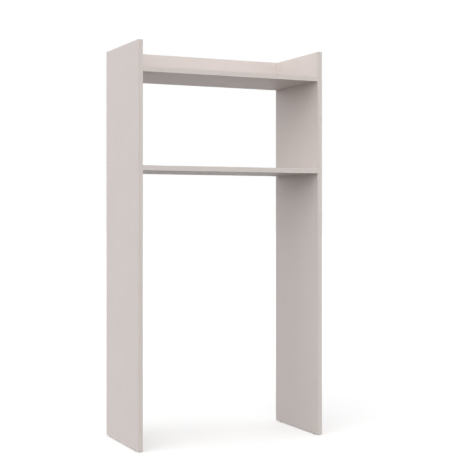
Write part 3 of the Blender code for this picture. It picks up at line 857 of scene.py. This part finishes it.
def cross_rings(depth, length=RECESS_LENGTH, width=RECESS_WIDTH):
    """A driver's cross below zero, tapering to its floor.

    A quarter of the outline is three points, and the powers of i turn it to the other three.
    """
    share = np.array([TAPER_SHARE, 1.0, 1.0])[:, None]
    height = np.array([-depth, 0.0, CUT_OVERRUN])
    arm, reach = share * width / 2, share * length / 2
    quarter = np.hstack([reach - 1j * arm, reach + 1j * arm, arm + 1j * arm])
    outline = (quarter[:, None] * (1j ** np.arange(4))[:, None]).reshape(3, -1)
    return np.dstack([outline.real, outline.imag, np.broadcast_to(height[:, None], outline.shape)])


def cam_mesh(lock, bolt):
    """The cam, from its lower face up: a softened drum with a waist.

    Its lower face has an arrow and a driver's cross round the socket for the cap's spigot.
    Above is a cup that a slot opens to +X for the bolt.
    """
    _, width, height = size_of(lock)
    radius = width / 2
    axis_height = middle(bolt)[2] - span(lock)[0][2]
    face = axis_height - BOLT_HEAD_DIAMETER / 2 - SEAT_GAP
    waist = radius - CAM_WAIST_DEPTH
    foot, top = CAM_WAIST_HEIGHTS
    drum = [
        (radius * POINT_SHARE, 0), (radius, 0), (radius, foot), (waist, foot + CAM_WAIST_DEPTH),
        (waist, top), (radius, top + CAM_WAIST_DEPTH), (radius, height),
        (radius * POINT_SHARE, height),
    ]
    drum = skin("cam_lock", turned(soften(drum, CAM_SOFTENING, ARRIS_STEPS)))
    cup_radius = CAM_CUP_DIAMETER / 2
    cup = [
        (cup_radius * POINT_SHARE, face), (cup_radius, face), (cup_radius, height - CAM_SOFTENING),
        (cup_radius + CAM_SOFTENING + CUT_OVERRUN, height + CUT_OVERRUN),
        (cup_radius * POINT_SHARE, height + CUT_OVERRUN),
    ]
    cup = turned(soften(cup, [0, CAM_SOFTENING, 0, 0, 0], ARRIS_STEPS))
    half = BOLT_NECK_DIAMETER / 2 + SEAT_GAP
    slot = [(0, -half), (2 * radius, -half), (2 * radius, half), (0, half)]
    slot = stacked(slot, (axis_height - half, height + CUT_OVERRUN))
    tip, reach = radius - CAM_SOFTENING * 2, CAM_ARROW_LENGTH
    arrow = [(tip, 0), (tip - reach, reach / 2), (tip - reach, -reach / 2)]
    arrow = stacked(arrow, (-CUT_OVERRUN, CAM_ARROW_DEPTH))
    cross = cross_rings(CAM_DRIVER_DEPTH, CAM_DRIVER_LENGTH, CAM_DRIVER_WIDTH) * (1, -1, -1)
    socket = bore_rings((0, 0, 0), Z, CAP_SPIGOT_DIAMETER + 2 * SEAT_GAP, CAM_DRIVER_DEPTH)
    return shaped(drum, *[skin("cut", rings) for rings in (cup, slot, arrow, cross, socket)])


def screw_mesh(name, corners, softening, recess, sides, *, tip, top, point, diameter, pitch):
    """A screw along +Z: a thread from its tip to its top, and the turned corners above it.

    The thread's rings lie a pitch / sides apart, so its ridge runs from corner to corner of the
    quads. Core and ridge both taper over the point, and the ridge fades out over the last half
    turn. The last corner's height is the head's top, which has a driver's recess.
    """
    height = np.arange(tip, top, pitch / sides)
    grown = np.clip((height - tip) / point, POINT_SHARE, 1)
    faded = np.clip((top - height) / (pitch / 2), 0, 1)
    root = diameter / 2 * ROOT_SHARE
    upper = soften([(root, top + HAIRLINE), *corners], softening, ARRIS_STEPS)
    profile = np.concatenate([np.column_stack([root * grown, height]), upper])
    rise = np.append((diameter / 2 - root) * grown * faded, np.zeros(len(upper)))
    blank = skin(name, turned(profile, sides, rise, pitch))
    return shaped(blank, skin("cut", cross_rings(recess) + (0, 0, corners[-1][1])))


def cam_bolt_mesh(bolt, sides):
    """The cam bolt along +Z, from its thread in the panel below zero to its head in the cam."""
    tip, top = from_panel(bolt)
    collar = size_of(bolt)[2] / 2
    shank, neck, head = BOLT_SHANK_DIAMETER / 2, BOLT_NECK_DIAMETER / 2, BOLT_HEAD_DIAMETER / 2
    collar_top = SEAT_GAP + BOLT_COLLAR_LENGTH
    head_foot = top - BOLT_HEAD_LENGTH
    neck_foot = head_foot - BOLT_NECK_LENGTH
    corners = [
        (collar, HAIRLINE), (collar, collar_top), (shank, collar_top), (shank, neck_foot),
        (neck, neck_foot), (neck, head_foot), (head, head_foot),
        (head, top - BOLT_HEAD_LENGTH * CHAMFER_SHARE), (head * (1 - CHAMFER_SHARE / 2), top),
        (head * POINT_SHARE, top),
    ]
    return screw_mesh(
        "cam_bolt", corners, BOLT_SOFTENING, RECESS_DEPTH, sides, tip=tip, top=0,
        point=BOLT_THREAD_PITCH, diameter=BOLT_THREAD_DIAMETER, pitch=BOLT_THREAD_PITCH,
    )


def rail_screw_mesh(screw, sides):
    """A countersunk chipboard screw along +Z, with the top of its head at zero."""
    width, length, _ = size_of(screw)
    head, shank = width / 2, RAIL_SCREW_DIAMETER / 2 * ROOT_SHARE
    corners = [
        (shank, shank - head - RAIL_SCREW_RIM), (head, -RAIL_SCREW_RIM), (head, 0),
        (head * POINT_SHARE, 0),
    ]
    softening = [0, BOLT_SOFTENING * 2, HAIRLINE, HAIRLINE, 0]
    return screw_mesh(
        "rail_screw", corners, softening, RECESS_DEPTH, sides,
        tip=-length, top=-size_of("back_rail")[1],
        point=RAIL_SCREW_POINT, diameter=RAIL_SCREW_DIAMETER, pitch=RAIL_SCREW_PITCH,
    )


def bracket_screw_mesh(screw, sides):
    """A pan-head screw along +Z, its head standing on zero."""
    width, _, length = size_of(screw)
    head, height = width / 2, BRACKET_SCREW_HEAD_HEIGHT
    shank = BRACKET_SCREW_DIAMETER / 2 * ROOT_SHARE
    corners = [
        (shank, -CLOSING), (head, -CLOSING), (head, height / 2), (head * PAN_SHARE, height),
        (head * POINT_SHARE, height),
    ]
    softening = [0, HAIRLINE, HAIRLINE * 4, height / 2, height / 2, 0]
    return screw_mesh(
        "bracket_screw", corners, softening, PAN_RECESS_DEPTH, sides,
        tip=height - length, top=-BRACKET_THICKNESS / 2,
        point=BRACKET_SCREW_POINT, diameter=BRACKET_SCREW_DIAMETER, pitch=BRACKET_SCREW_PITCH,
    )


def cam_cap_mesh(cap):
    """The cap, from its foot up: a softly domed disc under the shelf and a spigot up the cam."""
    width, _, height = size_of(cap)
    radius, spigot = width / 2, CAP_SPIGOT_DIAMETER / 2
    rim = span("lower_shelf")[0][2] - span(cap)[0][2] - HAIRLINE
    corners = [
        (radius * POINT_SHARE, 0), (radius - CAP_DOME, 0), (radius, CAP_DOME * (1 - CHAMFER_SHARE)),
        (radius, rim), (spigot, rim), (spigot, height), (spigot * POINT_SHARE, height),
    ]
    softening = [0, CAP_DOME, CAP_DOME / 2, HAIRLINE, HAIRLINE, spigot / 2, 0]
    return skin("cam_cap", turned(soften(corners, softening, BAND_STEPS)))


def dowel_mesh(dowel):
    """The dowel along +Z, in the panel below zero.

    At angle a the radius is R(z) - d ((1 - cos(n a)) / 2)^s, for n flutes of depth d and
    sharpness s, and R(z) is the dowel's profile with a softened chamfer at both ends.
    """
    foot, head = from_panel(dowel)
    crest = size_of(dowel)[2] / 2
    corners = [
        (crest * POINT_SHARE, foot), (crest - DOWEL_CHAMFER, foot), (crest, foot + DOWEL_CHAMFER),
        (crest, head - DOWEL_CHAMFER), (crest - DOWEL_CHAMFER, head), (crest * POINT_SHARE, head),
    ]
    rings = turned(soften(corners, DOWEL_CHAMFER, ARRIS_STEPS), ROUND_SIDES * 2)
    angle = np.arange(rings.shape[1]) * (2 * np.pi / rings.shape[1])
    flute = ((1 - np.cos(DOWEL_FLUTES * angle)) / 2) ** DOWEL_FLUTE_SHARPNESS
    radius = np.linalg.norm(rings[..., :2], axis=-1)
    depth = DOWEL_FLUTE_DEPTH * flute * (radius / crest) ** DOWEL_FLUTE_FADE
    rings[..., :2] *= (1 - depth / radius)[..., None]
    return skin("dowel", rings)


def bracket_mesh(bracket):
    """A bent strip: one leg forward along -Y on zero, one leg up against the plane y = 0.

    The sheet's edge is a quarter round r at each face. At its angle a it lies
    n = r (1 - cos a) inside that face and is drawn in by e = r (1 - sin a). At angle b of
    an end's corner c, the strip is c - (c - e) cos b from its tip and H - c + (c - e) sin b
    wide on each side. Round the bend R, a point is R - n from the bend's centre. The holes
    are cut afterwards.
    """
    width, _, leg = size_of(bracket)
    half = width / 2
    corner, bend, soft = BRACKET_CORNER, BRACKET_BEND, BRACKET_SOFTENING
    a = np.linspace(0, np.pi / 2, ARRIS_STEPS)
    edge = soft * (1 - np.sin(a))
    edge = np.append(edge, edge[::-1])
    inside = soft * (1 - np.cos(a))
    inside = np.append(inside, BRACKET_THICKNESS - inside[::-1])
    b = np.linspace(0, np.pi / 2, CORNER_STEPS)[:, None]
    back = corner - (corner - edge) * np.cos(b)
    end_width = half - corner + (corner - edge) * np.sin(b)
    b = np.linspace(0, np.pi / 2, BEND_STEPS)[:, None]
    width = np.concatenate([end_width, half - edge + 0 * b, end_width[::-1]])
    y = np.concatenate([back - leg, (bend - inside) * np.sin(b) - bend, -inside + 0 * back])
    z = np.concatenate([inside + 0 * back, bend - (bend - inside) * np.cos(b), leg - back[::-1]])
    right, left = np.stack([width, y, z], axis=-1), np.stack([-width, y, z], axis=-1)
    sheet = skin("wall_bracket", np.concatenate([right[:, ::-1], left], axis=1), laddered=True)
    screw_hole = BRACKET_SCREW_DIAMETER + 2 * SEAT_GAP
    depth = BRACKET_THICKNESS + CUT_OVERRUN
    on_top = (0, -BRACKET_HOLE_HEIGHT, BRACKET_THICKNESS)
    in_front = (0, -BRACKET_THICKNESS, BRACKET_HOLE_HEIGHT)
    holes = [
        bore_rings(on_top, -Z, screw_hole, depth, BRACKET_HOLE_FLARE),
        bore_rings(in_front, Y, WALL_HOLE_DIAMETER, depth, BRACKET_HOLE_FLARE),
    ]
    return shaped(sheet, skin("cut", np.array(holes)))


def glide_mesh(glide):
    """A round pad that stands on zero, drawn in a little upwards, with its nail in the panel."""
    radius, nail = size_of(glide)[0] / 2, GLIDE_NAIL_DIAMETER / 2
    top = span(glide)[1][2]
    rim = closed_box("side_panel_left")[0][2] - HAIRLINE
    corners = [
        (radius * POINT_SHARE, 0), (radius - GLIDE_ROUND, 0), (radius, GLIDE_ROUND),
        (radius - GLIDE_DRAFT, rim), (nail, rim), (nail, top - GLIDE_NAIL_POINT),
        (nail * POINT_SHARE, top),
    ]
    softening = [0, GLIDE_ROUND / 2, GLIDE_ROUND / 2, GLIDE_DRAFT, 0, HAIRLINE, 0]
    mesh = skin("floor_glide", turned(soften(corners, softening, BAND_STEPS)))
    centre = points_of(mesh.polygons, "center")
    reach = np.linalg.norm(centre[:, :2], axis=1)
    on_nail = (centre[:, 2] > rim - HAIRLINE) & (reach < 2 * nail)
    mesh.polygons.foreach_set("material_index", on_nail.astype(np.int32))
    return mesh


class TOWER_OT_cam_locks(bpy.types.Operator):
    """Makes the cam locks in the shelves"""

    bl_idname = "tower.cam_locks"
    bl_label = "Cam locks"

    def execute(self, context):
        mesh = cam_mesh("cam_lock_1", "cam_bolt_1")
        materials = [zinc_casting(context.scene.tower_finish)]
        for node in group("cam_lock_"):
            matrix = upright(node, span(node)[0][2], aside(node) * X)
            dress_copy(node, mesh, matrix, materials)
        return {"FINISHED"}


class TOWER_OT_cam_bolts(bpy.types.Operator):
    """Makes the cam bolts that pull each shelf to the side panels"""

    bl_idname = "tower.cam_bolts"
    bl_label = "Cam bolts"

    def execute(self, context):
        finish = context.scene.tower_finish
        mesh = cam_bolt_mesh("cam_bolt_1", finish.thread_sides)
        materials = [plated_steel(finish)]
        for node in group("cam_bolt_"):
            dress_copy(node, mesh, beside_shelf(node), materials)
        return {"FINISHED"}


class TOWER_OT_cam_caps(bpy.types.Operator):
    """Makes the caps that cover the cam locks under the shelves"""

    bl_idname = "tower.cam_caps"
    bl_label = "Cam caps"

    def execute(self, context):
        mesh = cam_cap_mesh("cam_cap_1")
        materials = [moulded_plastic("Greige polyethylene", context.scene.tower_finish.cap)]
        for node in group("cam_cap_"):
            dress_copy(node, mesh, upright(node, span(node)[0][2]), materials)
        return {"FINISHED"}


class TOWER_OT_dowels(bpy.types.Operator):
    """Makes the fluted beech dowels between shelves and side panels"""

    bl_idname = "tower.dowels"
    bl_label = "Dowels"

    def execute(self, context):
        mesh = dowel_mesh("dowel_1")
        materials = [beech(context.scene.tower_finish)]
        for node in group("dowel_"):
            dress_copy(node, mesh, beside_shelf(node), materials)
        return {"FINISHED"}


class TOWER_OT_rail_screws(bpy.types.Operator):
    """Makes the screws that hold the rail to the upper shelf"""

    bl_idname = "tower.rail_screws"
    bl_label = "Rail screws"

    def execute(self, context):
        finish = context.scene.tower_finish
        mesh = rail_screw_mesh("rail_screw_1", finish.thread_sides)
        materials = [plated_steel(finish)]
        for node in group("rail_screw_"):
            x, _, z = middle(node)
            rear = span(node)[1][1]
            dress_copy(node, mesh, seat((x, rear, z), Y, X), materials)
        return {"FINISHED"}


class TOWER_OT_brackets(bpy.types.Operator):
    """Makes the wall brackets and the screws that hold them to the upper shelf"""

    bl_idname = "tower.brackets"
    bl_label = "Wall brackets"

    def execute(self, context):
        finish = context.scene.tower_finish
        sheet = bracket_mesh("wall_bracket_left")
        pin = bracket_screw_mesh("bracket_screw_left", finish.thread_sides)
        materials = [plated_steel(finish)]
        for bracket, screw in zip(group("wall_bracket_"), group("bracket_screw_")):
            low, high = span(bracket)
            matrix = seat((middle(bracket)[0], high[1], low[2]), Z, X)
            dress_copy(bracket, sheet, matrix, materials)
            matrix = upright(screw, span(screw)[1][2] - BRACKET_SCREW_HEAD_HEIGHT)
            dress_copy(screw, pin, matrix, materials)
        return {"FINISHED"}


class TOWER_OT_glides(bpy.types.Operator):
    """Makes the nail-on glides under the side panels"""

    bl_idname = "tower.glides"
    bl_label = "Floor glides"

    def execute(self, context):
        finish = context.scene.tower_finish
        mesh = glide_mesh("floor_glide_1")
        materials = [moulded_plastic("Grey polyethylene", finish.glide), plated_steel(finish)]
        for node in group("floor_glide_"):
            dress_copy(node, mesh, upright(node, 0), materials)
        return {"FINISHED"}


# Studio


def seen_as_background(tree):
    """1 for the rays that should meet a white background: from the camera, or in a reflection."""
    path = add_node(tree, "LightPath").outputs
    mirrored = add_node(
        tree, "Math", {0: path["Is Glossy Ray"], 1: path["Is Transmission Ray"]}, operation="ADD"
    )
    return add_node(
        tree, "Math", {0: mirrored, 1: path["Is Camera Ray"]}, operation="ADD", use_clamp=True
    )


def make_floor(studio):
    """A wide floor of seamless paper. It shows white with the tower's shadow on it, and sends
    back the light of its own, greyer colour."""
    fibre_size, fibre_depth = 0.004, 0.0001
    material, tree = fresh_material("Seamless paper")
    place = add_node(tree, "TexCoord").outputs["Object"]
    fibres = add_node(tree, "TexNoise", {"Vector": place, "Scale": 1 / fibre_size, "Detail": 2.0})
    relief = add_node(tree, "Bump", {"Strength": 0.1, "Distance": fibre_depth, "Height": fibres})
    sent = add_node(tree, "BsdfDiffuse", {"Color": (*studio.floor, 1.0), "Normal": relief})
    shown = add_node(tree, "BsdfDiffuse", {"Color": linear(FLOOR_SHOWN), "Normal": relief})
    lift = add_node(tree, "Emission", {"Strength": FLOOR_LIFT})
    white = add_node(tree, "AddShader", {0: shown, 1: lift})
    mixed = add_node(tree, "MixShader", {0: seen_as_background(tree), 1: sent, 2: white})
    add_node(tree, "OutputMaterial", {"Surface": mixed})
    corners = np.array([(-1, -1, 0), (1, -1, 0), (1, 1, 0), (-1, 1, 0)]) * FLOOR_REACH
    mesh = bpy.data.meshes.new("studio_floor")
    mesh.from_pydata(corners, [], [range(len(corners))])
    mesh.materials.append(material)
    new_object("studio_floor", mesh)


def make_world(scene, studio):
    """White where it is seen. As light, it falls from the horizon to straight above, and it
    gains with the cosine of the angle to a direction behind the right."""
    world = bpy.data.worlds.new("Studio world")
    tree = fresh_tree(world)
    way = add_node(tree, "TexCoord").outputs["Generated"]
    height = add_node(tree, "SeparateXYZ", {"Vector": way}).outputs["Z"]
    even = add_node(
        tree, "MapRange", {"Value": height, "To Min": studio.fill, "To Max": studio.fill_above}
    )
    behind = add_node(tree, "VectorMath", {0: way, 1: BEHIND_RIGHT}, operation="DOT_PRODUCT")
    gain = add_node(tree, "MapRange", {"Value": behind, "To Max": studio.fill_behind})
    fill = add_node(tree, "Math", {0: even, 1: gain}, operation="ADD")
    strength = add_node(tree, "Mix", {"Factor": seen_as_background(tree), "A": fill, "B": 1.0})
    sky = add_node(tree, "Background", {"Color": (1, 1, 1, 1), "Strength": strength})
    add_node(tree, "OutputWorld", {"Surface": sky})
    scene.world = world


def make_key(studio):
    """One wide soft lamp, low at the front left."""
    lamp = bpy.data.lights.new("Key", "SUN")
    lamp.energy = studio.key
    lamp.angle = studio.key_width
    turn = (math.pi / 2 - studio.key_height, 0, -studio.key_side)
    new_object("Key", lamp).rotation_euler = turn


def make_camera(scene):
    """The camera of the photograph: level, with the horizon above the middle of the frame."""
    data = bpy.data.cameras.new("Photo camera")
    data.sensor_width = SENSOR_WIDTH
    data.lens = FOCAL_PIXELS * SENSOR_WIDTH / PHOTO_SIZE
    data.shift_y = (HORIZON_ROW - PHOTO_SIZE / 2) / PHOTO_SIZE
    camera = new_object("Photo camera", data)
    camera.location = CAMERA_PLACE
    camera.rotation_euler = (math.pi / 2, 0, CAMERA_TURN)
    scene.camera = camera


class TOWER_OT_studio(bpy.types.Operator):
    """Makes the white studio: floor, soft light and the camera of the photograph"""

    bl_idname = "tower.studio"
    bl_label = "Studio"

    def execute(self, context):
        studio = context.scene.tower_studio
        make_floor(studio)
        make_world(context.scene, studio)
        make_key(studio)
        make_camera(context.scene)
        context.scene.view_settings.view_transform = "Standard"
        return {"FINISHED"}


# The add-on

PIECE_OPERATORS = (
    TOWER_OT_boards, TOWER_OT_edging, TOWER_OT_cam_locks, TOWER_OT_cam_bolts, TOWER_OT_cam_caps,
    TOWER_OT_dowels, TOWER_OT_rail_screws, TOWER_OT_brackets, TOWER_OT_glides,
)
OPERATORS = (*PIECE_OPERATORS, TOWER_OT_studio)


class TOWER_PT_panel(bpy.types.Panel):
    """The tower's finishes and operators, in the 3D view's sidebar"""

    bl_idname = "TOWER_PT_panel"
    bl_label = "Storage tower"
    bl_space_type = "VIEW_3D"
    bl_region_type = "UI"
    bl_category = "Tower"

    def draw(self, context):
        scene = context.scene
        self.draw_group(scene.tower_finish, PIECE_OPERATORS)
        self.draw_group(scene.tower_studio, (TOWER_OT_studio,))

    def draw_group(self, settings, operators):
        """One column of settings and the operators that read them."""
        column = self.layout.column()
        for name in type(settings).__annotations__:
            column.prop(settings, name)
        for operator in operators:
            column.operator(operator.bl_idname)


CLASSES = (TowerFinish, TowerStudio, *OPERATORS, TOWER_PT_panel)


def register():
    for cls in CLASSES:
        bpy.utils.register_class(cls)
    bpy.types.Scene.tower_finish = PointerProperty(type=TowerFinish)
    bpy.types.Scene.tower_studio = PointerProperty(type=TowerStudio)


def unregister():
    del bpy.types.Scene.tower_studio
    del bpy.types.Scene.tower_finish
    for cls in reversed(CLASSES):
        bpy.utils.unregister_class(cls)


def main():
    register()
    for operator in OPERATORS:
        getattr(bpy.ops.tower, operator.bl_idname.removeprefix("tower."))()


if __name__ == "__main__":
    main()
